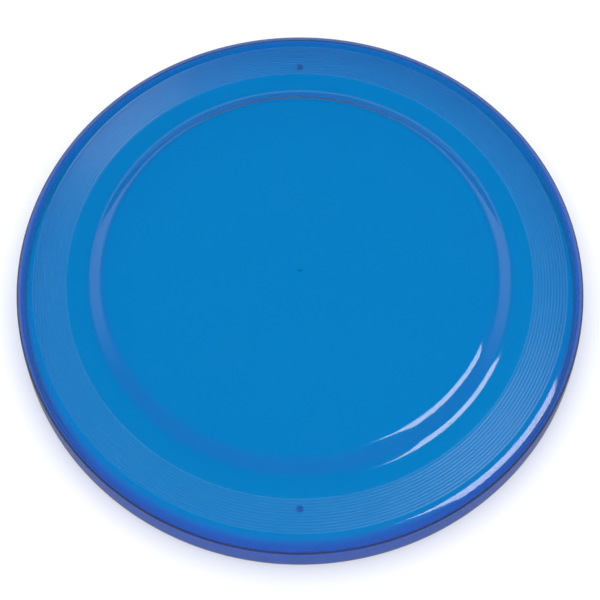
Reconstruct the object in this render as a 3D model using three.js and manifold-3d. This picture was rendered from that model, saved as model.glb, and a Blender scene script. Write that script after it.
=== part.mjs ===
// Single-wall flying disc, injection moulded in one shot of translucent polypropylene.
// Units are millimetres, +Z up. The origin is the centre of the circle the rim rests on,
// so the disc lies crown up with its whole rim on the plane z = 0.
//
// Reading outwards from the axis, the top surface is a very slightly crowned centre
// plate, a rounded step down to a lower annulus, a band of concentric flight ridges,
// a rounded shoulder and an upright rim. The underside follows the top at little more
// than one millimetre, thickening down the rim to a rounded lip. The only features that
// aren't rings are two ejector pads on the underside, one each side of the axis.

import * as THREE from 'three';
import { mergeVertices } from 'three/addons/utils/BufferGeometryUtils.js';
import Module from 'manifold-3d';

// ---- driving dimensions ----------------------------------------------------

const DISC_RADIUS = 110;          // widest radius, at the foot of the rim

const PLATE_CROWN_Z = 22.4;       // top of the centre plate, on the axis
const PLATE_EDGE_RADIUS = 73.9;   // where the plate rolls over into the step
const PLATE_EDGE_Z = 21.7;        // the plate is crowned by the difference

const STEP_FILLET = 5.0;          // radius of the rounds at the head and the foot of the step
const STEP_ANGLE = 40;            // steepest slope of the step, degrees from level
const STEP_RUN = 9.75;            // width of the step in plan

const RIDGE_COUNT = 11;
const RIDGE_PITCH = 1.15;
const RIDGE_HEIGHT = 0.18;        // land to crest
const RIDGE_INNER_FLANK = 0.31;   // plan width of the flank towards the axis
const RIDGE_OUTER_FLANK = 0.24;
const FIRST_RIDGE_RADIUS = 90.9;
const BAND_Z = 16.65;             // level of the ridge crests

const SHOULDER_RADIUS = 104.3;    // where the level annulus begins to roll down
const SHOULDER_Z = 16.4;
const SHOULDER_SLOPE = 0.03;      // fall of the annulus as it reaches the shoulder
const WALL_TOP_RADIUS = 109.6;    // where the shoulder has become the upright rim
const WALL_TOP_Z = 11.6;

const PLATE_WALL = 1.3;           // wall thickness of the plate
const MID_WALL = 1.1;             // wall thickness of the annulus
const SHOULDER_WALL = 1.5;        // the wall is thickest over the shoulder, at this height
const SHOULDER_WALL_Z = 15.2;
const RIM_WALL = 1.2;             // wall thickness at the lip, drafted thinner than the shoulder
const UNDER_STEP_SHIFT = -0.5;    // the underside of the step stands this much further in
const UNDER_RIM_RADIUS = 103.6;   // inside this radius the wall is measured straight down
const LIP_ROUND = 0.45;           // rounds on both edges of the lip

const GATE_RADIUS = 0.8;          // gate vestige, a pip under the centre of the plate
const GATE_DEPTH = 0.35;
const PAD_RADIUS = 1.35;          // ejector pads under the ridge band
const PAD_PITCH_RADIUS = 93.4;
const PAD_DEPTH = 0.2;

const SEGMENTS = 72;              // facets round the axis

// ---- the top surface, from the axis outwards --------------------------------

const point = (r, z) => new THREE.Vector2(r, z);
const rad = THREE.MathUtils.degToRad;

function plateTop() {
  const points = [];
  for (const share of [0, 0.5, 0.8, 1]) {
    const r = PLATE_EDGE_RADIUS * share;
    points.push(point(r, PLATE_CROWN_Z - (PLATE_CROWN_Z - PLATE_EDGE_Z) * share * share));
  }
  return points;
}

// Two rounds of the same radius joined by a straight flank. The first starts on the
// slope of the crowned plate, the second ends level.
function stepTop() {
  const lead = Math.atan((2 * (PLATE_CROWN_Z - PLATE_EDGE_Z)) / PLATE_EDGE_RADIUS);
  const steep = rad(STEP_ANGLE);
  const rounds = STEP_FILLET * (2 * Math.sin(steep) - Math.sin(lead));
  const flank = (STEP_RUN - rounds) / Math.cos(steep);
  const arcSteps = 4;
  const points = [];
  for (let i = 1; i <= arcSteps; i++) {
    const a = lead + ((steep - lead) * i) / arcSteps;
    points.push(point(
      PLATE_EDGE_RADIUS + STEP_FILLET * (Math.sin(a) - Math.sin(lead)),
      PLATE_EDGE_Z - STEP_FILLET * (Math.cos(lead) - Math.cos(a)),
    ));
  }
  const head = points[points.length - 1];
  const r0 = head.x + flank * Math.cos(steep);
  const z0 = head.y - flank * Math.sin(steep);
  points.push(point(r0, z0));
  for (let i = arcSteps - 1; i >= 0; i--) {
    const a = (steep * i) / arcSteps;
    points.push(point(r0 + STEP_FILLET * (Math.sin(steep) - Math.sin(a)), z0 - STEP_FILLET * (Math.cos(a) - Math.cos(steep))));
  }
  return points;
}

const land = BAND_Z - RIDGE_HEIGHT;
const bandStart = FIRST_RIDGE_RADIUS - RIDGE_PITCH / 2;
const bandEnd = bandStart + RIDGE_COUNT * RIDGE_PITCH;

// Low ridges with a flat land between them.
function ridgeTop() {
  const points = [];
  for (let i = 0; i < RIDGE_COUNT; i++) {
    const crest = FIRST_RIDGE_RADIUS + i * RIDGE_PITCH;
    points.push(point(crest - RIDGE_INNER_FLANK, land));
    points.push(point(crest, BAND_Z));
    points.push(point(crest + RIDGE_OUTER_FLANK, land));
  }
  return points;
}

// One cubic curve from the annulus over the shoulder to the head of the rim.
function shoulderTop() {
  const dr = WALL_TOP_RADIUS - SHOULDER_RADIUS;
  const dz = SHOULDER_Z - WALL_TOP_Z;
  const round = 0.5523;
  const curve = new THREE.CubicBezierCurve(
    point(SHOULDER_RADIUS, SHOULDER_Z),
    point(SHOULDER_RADIUS + round * dr, SHOULDER_Z - SHOULDER_SLOPE * round * dr),
    point(WALL_TOP_RADIUS, WALL_TOP_Z + round * dz),
    point(WALL_TOP_RADIUS, WALL_TOP_Z),
  );
  return curve.getPoints(7);
}

// The rim has a slight draft, opening towards the lip.
function rimTop() {
  const points = [];
  for (const share of [1 / 3, 2 / 3, 1]) {
    points.push(point(
      WALL_TOP_RADIUS + (DISC_RADIUS - WALL_TOP_RADIUS) * (1 - (1 - share) ** 2),
      WALL_TOP_Z + (LIP_ROUND - WALL_TOP_Z) * share,
    ));
  }
  return points;
}

// ---- the underside, from the lip back to the axis ----------------------------

// 1 under the step, fading to 0 on the level ground either side of it.
function inStep(r) {
  const foot = PLATE_EDGE_RADIUS + STEP_RUN;
  return THREE.MathUtils.clamp((r - 60) / (PLATE_EDGE_RADIUS - 60), 0, 1)
    * THREE.MathUtils.clamp((90 - r) / (90 - foot), 0, 1);
}

// A smooth copy of the top, without the ridges: straight down under the plate, the
// step and the annulus, and square to the surface round the rim.
function underside() {
  const out = [];
  for (const p of [...plateTop(), ...stepTop(), point(bandStart, land), point(bandEnd, land)]) {
    const share = THREE.MathUtils.clamp((p.x - PLATE_EDGE_RADIUS) / (UNDER_RIM_RADIUS - PLATE_EDGE_RADIUS), 0, 1);
    out.push(point(p.x + UNDER_STEP_SHIFT * inStep(p.x), p.y - PLATE_WALL - (MID_WALL - PLATE_WALL) * share));
  }
  const rim = [...shoulderTop(), ...rimTop()];
  for (let i = 0; i < rim.length; i++) {
    const along = rim[Math.min(i + 1, rim.length - 1)].clone().sub(rim[Math.max(i - 1, 0)]).normalize();
    const z = rim[i].y;
    const wall = z > SHOULDER_WALL_Z
      ? THREE.MathUtils.mapLinear(z, SHOULDER_Z, SHOULDER_WALL_Z, MID_WALL, SHOULDER_WALL)
      : THREE.MathUtils.mapLinear(z, SHOULDER_WALL_Z, LIP_ROUND, SHOULDER_WALL, RIM_WALL);
    out.push(point(rim[i].x + along.y * wall, rim[i].y - along.x * wall));
  }
  return out.reverse();
}

const under = underside();
const lipInner = under[0].x;
const lip = [
  point(DISC_RADIUS - LIP_ROUND * 0.293, LIP_ROUND * 0.293),
  point(DISC_RADIUS - LIP_ROUND, 0),
  point(lipInner + LIP_ROUND, 0),
  point(lipInner + LIP_ROUND * 0.293, LIP_ROUND * 0.293),
];

// The pip hangs below the plate as two rings of the same profile.
const plateUnderZ = under[under.length - 1].y;
const pip = [
  point(GATE_RADIUS * 1.15, plateUnderZ),
  point(GATE_RADIUS, plateUnderZ - GATE_DEPTH),
  point(0, plateUnderZ - GATE_DEPTH),
];

const profile = [
  ...plateTop(),
  ...stepTop(),
  ...ridgeTop(),
  ...shoulderTop(),
  ...rimTop(),
  ...lip,
  ...under.slice(0, -1),
  ...pip,
];

// LatheGeometry turns the (radius, height) profile about its own Y axis. The profile
// is reversed so that the faces point out, and the axis is then stood up along +Z.
const lathe = new THREE.LatheGeometry(profile.slice().reverse(), SEGMENTS);
lathe.rotateX(Math.PI / 2);

// ---- the two ejector pads -----------------------------------------------------

const wasm = await Module();
wasm.setup();

function toSolid(geometry) {
  const bare = geometry.clone();
  bare.deleteAttribute('normal');
  bare.deleteAttribute('uv');
  const merged = mergeVertices(bare, 1e-4);
  const index = merged.index.array;
  const position = merged.attributes.position;
  const kept = [];
  for (let i = 0; i < index.length; i += 3) {
    const [a, b, c] = [index[i], index[i + 1], index[i + 2]];
    if (a !== b && b !== c && c !== a) kept.push(a, b, c);
  }
  return new wasm.Manifold(new wasm.Mesh({
    numProp: 3,
    vertProperties: new Float32Array(position.array),
    triVerts: new Uint32Array(kept),
  }));
}

function toGeometry(solid) {
  const mesh = solid.getMesh();
  const geometry = new THREE.BufferGeometry();
  const stride = mesh.numProp;
  const count = mesh.vertProperties.length / stride;
  const position = new Float32Array(count * 3);
  for (let i = 0; i < count; i++) {
    for (let k = 0; k < 3; k++) position[3 * i + k] = mesh.vertProperties[stride * i + k];
  }
  geometry.setAttribute('position', new THREE.BufferAttribute(position, 3));
  geometry.setIndex(new THREE.BufferAttribute(new Uint32Array(mesh.triVerts), 1));
  geometry.computeVertexNormals();
  return geometry;
}

// Height of the underside at a radius.
function underZ(r) {
  for (let i = 1; i < under.length; i++) {
    const [a, b] = [under[i - 1], under[i]];
    if ((a.x - r) * (b.x - r) <= 0 && a.x !== b.x) {
      return a.y + ((b.y - a.y) * (r - a.x)) / (b.x - a.x);
    }
  }
  return plateUnderZ;
}

let disc = toSolid(lathe);
for (const side of [1, -1]) {
  const rootZ = underZ(PAD_PITCH_RADIUS);
  const height = PAD_DEPTH + 0.5;
  const pad = new THREE.CylinderGeometry(PAD_RADIUS, PAD_RADIUS, height, 16);
  pad.rotateX(Math.PI / 2);
  pad.translate(0, side * PAD_PITCH_RADIUS, rootZ - PAD_DEPTH + height / 2);
  disc = disc.add(toSolid(pad));
}

// ---- the scene graph ----------------------------------------------------------

const material = new THREE.MeshStandardMaterial({
  color: 0x0482c8,
  roughness: 0.12,
  metalness: 0,
  transparent: true,
  opacity: 0.75,
});

const discMoulding = new THREE.Mesh(toGeometry(disc), material);
discMoulding.name = 'disc_moulding';

const group = new THREE.Group();
group.name = 'flying_disc';
group.add(discMoulding);

export default group;
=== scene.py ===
import math

import bpy
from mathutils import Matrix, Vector


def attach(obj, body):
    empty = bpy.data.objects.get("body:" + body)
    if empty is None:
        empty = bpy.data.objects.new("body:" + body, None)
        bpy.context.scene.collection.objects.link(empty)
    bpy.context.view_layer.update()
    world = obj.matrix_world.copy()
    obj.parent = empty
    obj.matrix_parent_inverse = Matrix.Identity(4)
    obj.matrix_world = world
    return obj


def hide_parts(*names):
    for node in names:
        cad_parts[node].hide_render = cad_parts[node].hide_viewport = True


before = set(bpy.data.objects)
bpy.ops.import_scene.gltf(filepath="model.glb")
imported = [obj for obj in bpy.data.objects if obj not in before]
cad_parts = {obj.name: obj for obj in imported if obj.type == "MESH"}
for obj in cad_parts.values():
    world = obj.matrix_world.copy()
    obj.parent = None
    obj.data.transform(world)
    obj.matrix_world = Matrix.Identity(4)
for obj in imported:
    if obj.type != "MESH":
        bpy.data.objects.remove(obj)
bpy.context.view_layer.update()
scene = bpy.context.scene

# ---------------------------------------------------------------- dimensions, mm
R = 110.0
PLATE_CROWN_Z = 22.4
PLATE_EDGE_R, PLATE_EDGE_Z = 73.9, 21.7
STEP_FILLET, STEP_ANGLE, STEP_RUN = 5.0, 40.0, 9.75
RIDGES, PITCH, FIRST_RIDGE_R = 11, 1.15, 90.9
RIDGE_H, RIDGE_IN, RIDGE_OUT = 0.18, 0.31, 0.24      # height, plan width of the inner and outer flank
BAND_Z = 16.65                                       # ridge crests
SHOULDER_R, SHOULDER_Z, WALL_TOP_R, WALL_TOP_Z = 104.3, 16.4, 109.6, 11.6
PLATE_WALL, MID_WALL = 1.3, 1.1
SHOULDER_WALL, SHOULDER_WALL_Z, RIM_WALL = 1.5, 15.2, 1.2    # thickest over the shoulder, drafted thinner to the lip
UNDER_STEP_SHIFT = -0.5                              # the underside of the step stands this much further in
UNDER_RIM_R = 103.6                                  # inside this the wall is measured straight down
LIP = 0.45
GATE_R, GATE_DEPTH = 0.8, 0.35
PAD_R, PAD_RING_R, PAD_DEPTH = 1.35, 93.4, 0.2
SEGMENTS = 304


# ---------------------------------------------------------------- profile of the moulding
def base_curve():
    """Top surface without the ridges, from the axis out to the head of the upright rim."""
    pts = []
    for i in range(11):
        s = i / 10
        pts.append((PLATE_EDGE_R * s, PLATE_CROWN_Z - (PLATE_CROWN_Z - PLATE_EDGE_Z) * s * s))
    a0 = math.atan(2 * (PLATE_CROWN_Z - PLATE_EDGE_Z) / PLATE_EDGE_R)
    a1 = math.radians(STEP_ANGLE)
    f = STEP_FILLET
    n = 14
    for i in range(1, n + 1):
        a = a0 + (a1 - a0) * i / n
        pts.append((PLATE_EDGE_R + f * (math.sin(a) - math.sin(a0)), PLATE_EDGE_Z - f * (math.cos(a0) - math.cos(a))))
    used = f * (math.sin(a1) - math.sin(a0)) + f * math.sin(a1)
    flank = max((STEP_RUN - used) / math.cos(a1), 0.02)
    r, z = pts[-1]
    for s in (0.5, 1.0):
        pts.append((r + flank * math.cos(a1) * s, z - flank * math.sin(a1) * s))
    r, z = pts[-1]
    for i in range(1, n + 1):
        a = a1 * (1 - i / n)
        pts.append((r + f * (math.sin(a1) - math.sin(a)), z - f * (math.cos(a) - math.cos(a1))))
    foot_r, foot_z = pts[-1]
    land = BAND_Z - RIDGE_H
    band0 = FIRST_RIDGE_R - PITCH * 0.5
    band1 = band0 + RIDGES * PITCH
    for i in range(1, 7):
        u = i / 6
        w = 3 * u * u - 2 * u ** 3
        pts.append((foot_r + (band0 - foot_r) * u, foot_z + (land - foot_z) * w))
    start = len(pts)
    pts.append((band1, land))
    slope = -0.03
    for i in range(1, 5):
        u = i / 4
        w = 3 * u * u - 2 * u ** 3
        lift = (u ** 3 - u * u) * (SHOULDER_R - band1) * slope
        pts.append((band1 + (SHOULDER_R - band1) * u, land + (SHOULDER_Z - land) * w + lift))
    dx, dy = WALL_TOP_R - SHOULDER_R, SHOULDER_Z - WALL_TOP_Z
    k = 0.5523
    x0, y0, x3, y3 = SHOULDER_R, SHOULDER_Z, WALL_TOP_R, WALL_TOP_Z
    x1, y1, x2, y2 = x0 + k * dx, y0 + slope * k * dx, x3, y3 + k * dy
    m = 20
    for i in range(1, m + 1):
        u = i / m
        b = ((1 - u) ** 3, 3 * (1 - u) ** 2 * u, 3 * (1 - u) * u * u, u ** 3)
        pts.append((b[0] * x0 + b[1] * x1 + b[2] * x2 + b[3] * x3, b[0] * y0 + b[1] * y1 + b[2] * y2 + b[3] * y3))
    return pts, start


def ridge_points():
    land = BAND_Z - RIDGE_H
    pts = []
    for i in range(RIDGES):
        crest = FIRST_RIDGE_R + i * PITCH
        for j in range(0, 7):
            u = j / 6
            pts.append((crest - RIDGE_IN * (1 - u), land + RIDGE_H * (0.5 - 0.5 * math.cos(math.pi * u))))
        for j in range(1, 7):
            u = j / 6
            pts.append((crest + RIDGE_OUT * u, land + RIDGE_H * (0.5 + 0.5 * math.cos(math.pi * u))))
    return pts


def wall_below(r):
    """Wall thickness measured straight down, from the axis out to the foot of the rim."""
    share = min(max((r - PLATE_EDGE_R) / (UNDER_RIM_R - PLATE_EDGE_R), 0.0), 1.0)
    return PLATE_WALL + (MID_WALL - PLATE_WALL) * share


def in_step(r):
    """1 under the step, fading to 0 on the level ground either side of it."""
    foot = PLATE_EDGE_R + STEP_RUN
    return min(max((r - 60.0) / (PLATE_EDGE_R - 60.0), 0.0), 1.0) * min(max((90.0 - r) / (90.0 - foot), 0.0), 1.0)


def moulding_profile():
    smooth, start = base_curve()
    outer = smooth[:start] + ridge_points() + smooth[start:]
    # outside of the rim, down to the lip
    wall = [(WALL_TOP_R + (R - WALL_TOP_R) * (1 - (1 - i / 8) ** 2), WALL_TOP_Z + (LIP - WALL_TOP_Z) * i / 8) for i in range(1, 9)]
    # the underside: straight down under the plate, the step and the annulus, square to the surface round the rim
    under = [(x + UNDER_STEP_SHIFT * in_step(x), y - wall_below(x)) for x, y in smooth if x < UNDER_RIM_R - 0.3]
    rim = [q for q in smooth if q[0] >= UNDER_RIM_R + 0.3] + wall
    for i, (x, y) in enumerate(rim):
        xa, ya = rim[max(i - 1, 0)]
        xb, yb = rim[min(i + 1, len(rim) - 1)]
        tx, ty = xb - xa, yb - ya
        length = math.hypot(tx, ty)
        if y > SHOULDER_WALL_Z:
            t = MID_WALL + (SHOULDER_WALL - MID_WALL) * min(max((SHOULDER_Z - y) / (SHOULDER_Z - SHOULDER_WALL_Z), 0.0), 1.0)
        else:
            t = SHOULDER_WALL + (RIM_WALL - SHOULDER_WALL) * (SHOULDER_WALL_Z - y) / (SHOULDER_WALL_Z - LIP)
        under.append((x + ty / length * t, y - tx / length * t))
    lip = wall + [(R - LIP + LIP * math.cos(math.pi / 2 * i / 6), LIP - LIP * math.sin(math.pi / 2 * i / 6)) for i in range(1, 7)]
    inner_r = under[-1][0]
    lip += [(inner_r + LIP * (1 - math.sin(math.pi / 2 * i / 6)), LIP * (1 - math.cos(math.pi / 2 * i / 6))) for i in range(0, 7)]
    under_back = under[-2::-1]
    axis_z = under_back[-1][1]
    under_back = [q for q in under_back if q[0] > GATE_R * 1.6]
    pip = [(GATE_R * 1.4, axis_z), (GATE_R * 1.08, axis_z - GATE_DEPTH * 0.3), (GATE_R * 0.92, axis_z - GATE_DEPTH * 0.85),
           (GATE_R * 0.7, axis_z - GATE_DEPTH), (0.0, axis_z - GATE_DEPTH)]
    return outer + lip + under_back + pip


def lathe(name, profile, segments):
    verts, faces, rings = [], [], []
    for r, z in profile:
        if r < 1e-6:
            rings.append([len(verts)])
            verts.append((0.0, 0.0, z / 1000))
        else:
            first = len(verts)
            rings.append(list(range(first, first + segments)))
            for k in range(segments):
                a = 2 * math.pi * k / segments
                verts.append((r * math.cos(a) / 1000, r * math.sin(a) / 1000, z / 1000))
    for a, b in zip(rings, rings[1:]):
        for k in range(segments):
            k2 = (k + 1) % segments
            if len(a) == 1:
                faces.append((a[0], b[k], b[k2]))
            elif len(b) == 1:
                faces.append((a[k], b[0], a[k2]))
            else:
                faces.append((a[k], b[k], b[k2], a[k2]))
    mesh = bpy.data.meshes.new(name)
    mesh.from_pydata(verts, [], faces)
    # uv: polar layout of the disc seen from above
    uv = mesh.uv_layers.new(name="UVMap")
    for loop in mesh.loops:
        x, y, z = mesh.vertices[loop.vertex_index].co
        uv.data[loop.index].uv = (0.5 + x / (2.2 * R / 1000), 0.5 + y / (2.2 * R / 1000))
    mesh.polygons.foreach_set("use_smooth", [True] * len(mesh.polygons))
    mesh.update()
    obj = bpy.data.objects.new(name, mesh)
    scene.collection.objects.link(obj)
    return obj


profile = moulding_profile()


disc = lathe("disc_shell", profile, SEGMENTS)

# ---------------------------------------------------------------- material
# strength of the violet painted on the step as painted shade
STEP_PAINTED_SHADE = 0.28
SIGMA = (1500.0, 500.0, 205.0)          # absorption per metre of plastic: red, green, blue
mat = bpy.data.materials.new("translucent_blue_pp")
mat.use_nodes = True
nt = mat.node_tree
bsdf = nt.nodes["Principled BSDF"]
out = nt.nodes["Material Output"]
CLEAR, PAINTED_VIOLET = (0.02, 0.86, 1.0, 1), (0.38, 0.54, 0.97, 1)     # tint of the level walls, and the violet painted round the rim and on the step as painted reflection and shade
bsdf.inputs["Transmission Weight"].default_value = 0.95
bsdf.inputs["IOR"].default_value = 1.49
bsdf.inputs["Metallic"].default_value = 0.0

coord = nt.nodes.new("ShaderNodeTexCoord")
split = nt.nodes.new("ShaderNodeSeparateXYZ")
nt.links.new(coord.outputs["Object"], split.inputs[0])


def calc(op, a, b):
    n = nt.nodes.new("ShaderNodeMath")
    n.operation = op
    for i, v in enumerate((a, b)):
        if isinstance(v, (int, float)):
            n.inputs[i].default_value = v
        else:
            nt.links.new(v, n.inputs[i])
    return n.outputs[0]


def fade(x, lo, hi):
    n = nt.nodes.new("ShaderNodeMapRange")
    n.interpolation_type = "SMOOTHSTEP"
    nt.links.new(x, n.inputs["Value"])
    n.inputs["From Min"].default_value = lo
    n.inputs["From Max"].default_value = hi
    return n.outputs["Result"]


# painted reflection and shade: violet mixed into the base colour round the rim, and slightly on the step, standing in
# for the floor reflected in the rim wall and the deep colour of the step wall seen edge-on
radius = calc("SQRT", calc("ADD", calc("MULTIPLY", split.outputs[0], split.outputs[0]), calc("MULTIPLY", split.outputs[1], split.outputs[1])), 0.0)
painted_rim_reflection = fade(radius, 0.1030, 0.1085)
painted_step_shade = calc("MULTIPLY", calc("MULTIPLY", fade(radius, 0.0740, 0.0775), fade(radius, 0.0830, 0.0790)), STEP_PAINTED_SHADE)
tint = nt.nodes.new("ShaderNodeMix")
tint.data_type = "RGBA"
tint.inputs[6].default_value = CLEAR
tint.inputs[7].default_value = PAINTED_VIOLET
nt.links.new(calc("ADD", painted_rim_reflection, painted_step_shade), tint.inputs[0])
nt.links.new(tint.outputs[2], bsdf.inputs["Base Color"])
grain = nt.nodes.new("ShaderNodeTexNoise")
grain.inputs["Scale"].default_value = 55.0
grain.inputs["Detail"].default_value = 4.0
nt.links.new(coord.outputs["Object"], grain.inputs["Vector"])
rough = nt.nodes.new("ShaderNodeMapRange")
rough.inputs["From Min"].default_value = 0.3
rough.inputs["From Max"].default_value = 0.75
rough.inputs["To Min"].default_value = 0.05
rough.inputs["To Max"].default_value = 0.09
nt.links.new(grain.outputs["Fac"], rough.inputs["Value"])
# the ridge band is a little more matt than the polished walls
band = calc("MULTIPLY", fade(radius, 0.0893, 0.0899), fade(radius, 0.1034, 0.1028))
nt.links.new(calc("ADD", rough.outputs["Result"], calc("MULTIPLY", band, 0.225)), bsdf.inputs["Roughness"])

absorb = nt.nodes.new("ShaderNodeVolumeAbsorption")
density = max(SIGMA)
absorb.inputs["Color"].default_value = tuple(1 - s / density for s in SIGMA) + (1,)
absorb.inputs["Density"].default_value = density
nt.links.new(absorb.outputs[0], out.inputs["Volume"])
disc.data.materials.append(mat)

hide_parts("disc_moulding")
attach(disc, "root")

# ---------------------------------------------------------------- the two ejector marks under the ridge band
mark_mat = bpy.data.materials.new("translucent_blue_pp_matt")
mark_mat.use_nodes = True
mb = mark_mat.node_tree.nodes["Principled BSDF"]
mb.inputs["Transmission Weight"].default_value = 0.9
mb.inputs["IOR"].default_value = 1.49
mb.inputs["Roughness"].default_value = 0.35
mc = mark_mat.node_tree.nodes.new("ShaderNodeTexCoord")
mn = mark_mat.node_tree.nodes.new("ShaderNodeTexNoise")
mn.inputs["Scale"].default_value = 900.0
mark_mat.node_tree.links.new(mc.outputs["Object"], mn.inputs["Vector"])
mr = mark_mat.node_tree.nodes.new("ShaderNodeValToRGB")
mr.color_ramp.elements[0].position = 0.35
mr.color_ramp.elements[0].color = (0.42, 0.20, 0.72, 1)
mr.color_ramp.elements[1].position = 0.65
mr.color_ramp.elements[1].color = (0.55, 0.28, 0.82, 1)
mark_mat.node_tree.links.new(mn.outputs["Fac"], mr.inputs["Fac"])
mark_mat.node_tree.links.new(mr.outputs["Color"], mb.inputs["Base Color"])
under_z = BAND_Z - RIDGE_H - wall_below(PAD_RING_R)
for name, side in (("ejector_mark_far", 1), ("ejector_mark_near", -1)):
    ring = [(PAD_R, 0.06), (PAD_R, -PAD_DEPTH * 0.7), (PAD_R * 0.92, -PAD_DEPTH)]
    verts, faces = [(0, 0, 0.06)], []
    n = 40
    for rr, dz in ring:
        verts += [(rr * math.cos(2 * math.pi * i / n), rr * math.sin(2 * math.pi * i / n), dz) for i in range(n)]
    verts.append((0, 0, -PAD_DEPTH))
    for i in range(n):
        j = (i + 1) % n
        faces.append((0, 1 + i, 1 + j))
        for k in range(len(ring) - 1):
            a, b = 1 + k * n, 1 + (k + 1) * n
            faces.append((a + i, b + i, b + j, a + j))
        faces.append((len(verts) - 1, 1 + (len(ring) - 1) * n + j, 1 + (len(ring) - 1) * n + i))
    pm = bpy.data.meshes.new(name)
    pm.from_pydata([(x / 1000, (y + side * PAD_RING_R) / 1000, (z + under_z) / 1000) for x, y, z in verts], [], faces)
    pm.materials.append(mark_mat)
    pad = bpy.data.objects.new(name, pm)
    scene.collection.objects.link(pad)
    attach(pad, "root")

# ---------------------------------------------------------------- floor
floor_mat = bpy.data.materials.new("pale_floor")
floor_mat.use_nodes = True
fb = floor_mat.node_tree.nodes["Principled BSDF"]
fb.inputs["Base Color"].default_value = (0.9, 0.9, 0.9, 1)
fb.inputs["Roughness"].default_value = 1.0
fb.inputs["Specular IOR Level"].default_value = 0.0
fm = bpy.data.meshes.new("floor")
F = 6.0
fm.from_pydata([(-F, -F, 0), (F, -F, 0), (F, F, 0), (-F, F, 0)], [], [(0, 1, 2, 3)])
fm.materials.append(floor_mat)
floor = bpy.data.objects.new("floor", fm)
scene.collection.objects.link(floor)
floor.visible_glossy = False

# ---------------------------------------------------------------- camera
CAM_E, CAM_F, CAM_Y0, CAM_D = math.radians(65.50), 1693.0, 16.0, 6.0
aim = Vector((0, 0, 0.00763))
cam_pos = aim + Vector((0, -CAM_D * R / 1000 * math.cos(CAM_E), CAM_D * R / 1000 * math.sin(CAM_E)))
cam_data = bpy.data.cameras.new("camera")
cam_data.sensor_fit = "HORIZONTAL"
cam_data.angle = 2 * math.atan(300 / CAM_F)
cam_data.clip_start = 0.01
camera = bpy.data.objects.new("camera", cam_data)
scene.collection.objects.link(camera)
scene.camera = camera
cam_up = Vector((0, math.sin(CAM_E), math.cos(CAM_E)))
look = ((aim - cam_pos).normalized() * CAM_F - cam_up * CAM_Y0).normalized()
camera.location = cam_pos
camera.rotation_euler = look.to_track_quat("-Z", "Y").to_euler()

# ---------------------------------------------------------------- softbox, a slanted four-sided panel
KEY = 9.5
KEY_CORNERS = [(10, 290), (10, 335), (29, 332), (29, 303)]     # tilt and azimuth of the surface that mirrors each corner
KEY_DIST = 1.3


def mirrored(tilt, azimuth):
    t, a = math.radians(tilt), math.radians(azimuth)
    n = Vector((math.sin(t) * math.cos(a), math.sin(t) * math.sin(a), math.cos(t)))
    p = Vector((0.078 * math.cos(a), 0.078 * math.sin(a), 0.019))
    v = (cam_pos - p).normalized()
    return p + (2 * n.dot(v) * n - v).normalized() * KEY_DIST


corners = [mirrored(*c) for c in KEY_CORNERS]
km = bpy.data.meshes.new("softbox")
km.from_pydata(corners, [], [(0, 1, 2), (0, 2, 3)])
key_mat = bpy.data.materials.new("softbox_light")
key_mat.use_nodes = True
kt = key_mat.node_tree
kt.nodes.remove(kt.nodes["Principled BSDF"])
em = kt.nodes.new("ShaderNodeEmission")
em.inputs["Strength"].default_value = KEY
em.inputs["Color"].default_value = (0.95, 0.97, 1.0, 1)
kt.links.new(em.outputs[0], kt.nodes["Material Output"].inputs["Surface"])
km.materials.append(key_mat)
softbox = bpy.data.objects.new("softbox", km)
scene.collection.objects.link(softbox)
softbox.visible_camera = False
softbox.visible_diffuse = False
softbox.visible_transmission = False
softbox.visible_shadow = False

# ---------------------------------------------------------------- world
world = bpy.data.worlds.new("studio")
scene.world = world
world.use_nodes = True
wn = world.node_tree
background = wn.nodes["Background"]


def math_node(op, *vals):
    n = wn.nodes.new("ShaderNodeMath")
    n.operation = op
    for i, v in enumerate(vals):
        if isinstance(v, (int, float)):
            n.inputs[i].default_value = v
        else:
            wn.links.new(v, n.inputs[i])
    return n.outputs[0]


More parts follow.
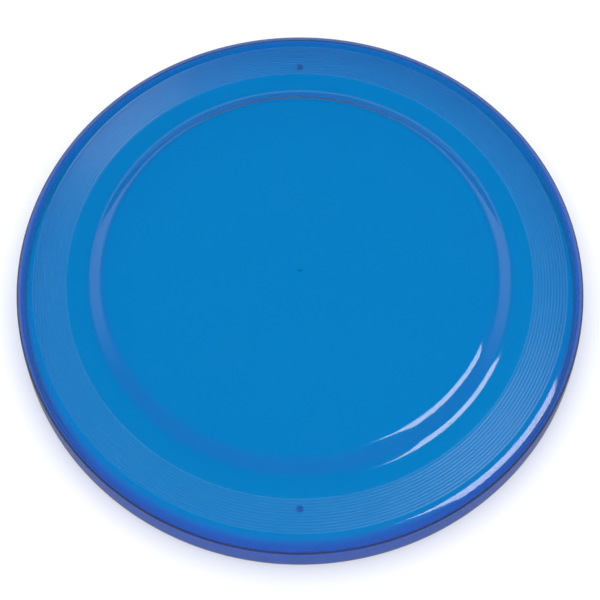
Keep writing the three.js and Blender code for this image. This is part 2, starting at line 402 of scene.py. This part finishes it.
def smooth(x, lo, hi, a=0.0, b=1.0):
    n = wn.nodes.new("ShaderNodeMapRange")
    n.interpolation_type = "SMOOTHSTEP"
    wn.links.new(x, n.inputs["Value"])
    n.inputs["From Min"].default_value = lo
    n.inputs["From Max"].default_value = hi
    n.inputs["To Min"].default_value = a
    n.inputs["To Max"].default_value = b
    return n.outputs["Result"]


AMBIENT = 1.36          # what lights the floor
HORIZON, HIGH, FRONT, NEAR_FLOOR = 0.68, 0.02, 0.03, 0.25
wc = wn.nodes.new("ShaderNodeTexCoord")
ws = wn.nodes.new("ShaderNodeSeparateXYZ")
wn.links.new(wc.outputs["Generated"], ws.inputs[0])
X, Y, Z = ws.outputs
rise = smooth(Z, 0.05, 0.55)
sink = smooth(Z, -0.70, -0.25)
rear = smooth(Y, -0.30, 0.30)
low = math_node("ADD", math_node("MULTIPLY", rear, HORIZON - FRONT), FRONT)
above = math_node("ADD", math_node("MULTIPLY", math_node("SUBTRACT", 1.0, rise), low), math_node("MULTIPLY", rise, HIGH))
seen = math_node("ADD", math_node("MULTIPLY", above, sink), math_node("MULTIPLY", math_node("SUBTRACT", 1.0, sink), NEAR_FLOOR))
lp = wn.nodes.new("ShaderNodeLightPath")
first_gloss = math_node("MULTIPLY", lp.outputs["Is Glossy Ray"], math_node("LESS_THAN", lp.outputs["Diffuse Depth"], 0.5))
value = math_node("ADD", math_node("MULTIPLY", first_gloss, seen),
                  math_node("MULTIPLY", math_node("SUBTRACT", 1.0, first_gloss), AMBIENT))
comb = wn.nodes.new("ShaderNodeCombineColor")
for k in range(3):
    wn.links.new(value, comb.inputs[k])
wn.links.new(comb.outputs[0], background.inputs["Color"])
background.inputs["Strength"].default_value = 1.0

# ---------------------------------------------------------------- render settings
cy = scene.cycles
cy.use_denoising = True
cy.denoising_prefilter = "ACCURATE"
cy.max_bounces = 32
cy.transmission_bounces = 24
cy.glossy_bounces = 24
cy.diffuse_bounces = 5
cy.transparent_max_bounces = 8
cy.caustics_refractive = True
cy.caustics_reflective = False
cy.blur_glossy = 0.1
cy.sample_clamp_indirect = 10.0
scene.view_settings.view_transform = "Standard"
scene.view_settings.look = "None"
scene.view_settings.exposure = 0.0
